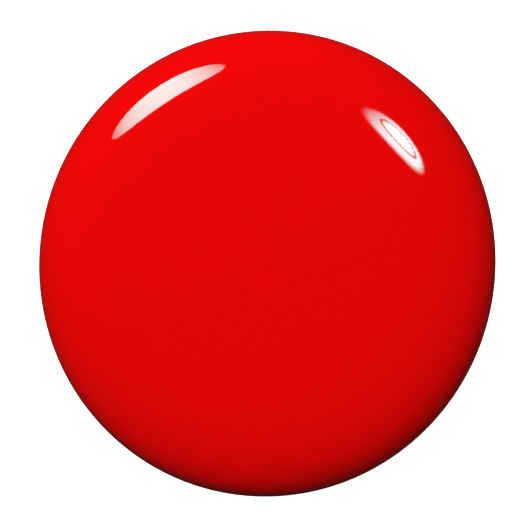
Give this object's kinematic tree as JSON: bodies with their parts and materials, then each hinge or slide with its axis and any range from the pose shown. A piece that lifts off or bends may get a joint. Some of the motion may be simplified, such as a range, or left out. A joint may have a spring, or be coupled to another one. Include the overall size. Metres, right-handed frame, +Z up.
{
  "type": "nail polish bottle",
  "caption": "Round glass nail lacquer bottle with a screw-on brush cap, shown with a domed drop of its red lacquer on the cap's flat top as a colour sample.",
  "frame": {"origin": "on the bottle's axis, in the plane that the bottle stands on", "axes": "+Z up along the bottle's axis; the drop's longer axis lies 76 degrees from +X towards +Y"},
  "size_m": [0.03, 0.03, 0.075],
  "materials": {
    "glass": "clear, polished",
    "lacquer": "opaque red, wet gloss",
    "paper": "blank coated paper",
    "steel": "polished steel",
    "weight_steel": "turned, dull",
    "wire": "drawn wire",
    "liner": "soft white foam",
    "cap_core": "moulded, semi-matt",
    "stem": "moulded, smooth",
    "bristles": "fine nylon filaments wet with lacquer",
    "cap_shell": "black, satin gloss",
    "lacquer_drop": "opaque bright red, mirror gloss"
  },
  "bodies": {
    "bottle": {"glass_bottle": "glass", "lacquer": "lacquer", "base_label": "paper"},
    "ball_1": {"mixing_ball_1": "steel"},
    "ball_2": {"mixing_ball_2": "steel"},
    "weight": {"cap_weight": "weight_steel"},
    "closure": {"inner_cap": "cap_core", "sealing_liner": "liner", "brush_stem": "stem", "bristle_staple": "wire", "bristle_tuft": "bristles", "overcap": "cap_shell", "lacquer_drop": "lacquer_drop"}
  },
  "joints": [
    {"name": "ball_1_shake", "type": "slide", "parent": "bottle", "child": "ball_1", "axis": [0, 0, 1], "range_m": [0, 0.018], "deforming": ["lacquer"]},
    {"name": "ball_2_shake", "type": "slide", "parent": "bottle", "child": "ball_2", "axis": [0, 0, 1], "range_m": [0, 0.018], "deforming": ["lacquer"]},
    {"name": "closure_draw", "type": "slide", "parent": "bottle", "child": "weight", "axis": [0, 0, 1], "range_m": [0, 0.07]},
    {"name": "closure_turn", "type": "hinge", "parent": "weight", "child": "closure", "pos_m": [0, 0, 0.0511], "axis": [0, 0, 1], "range_deg": [0, 720]}
  ]
}
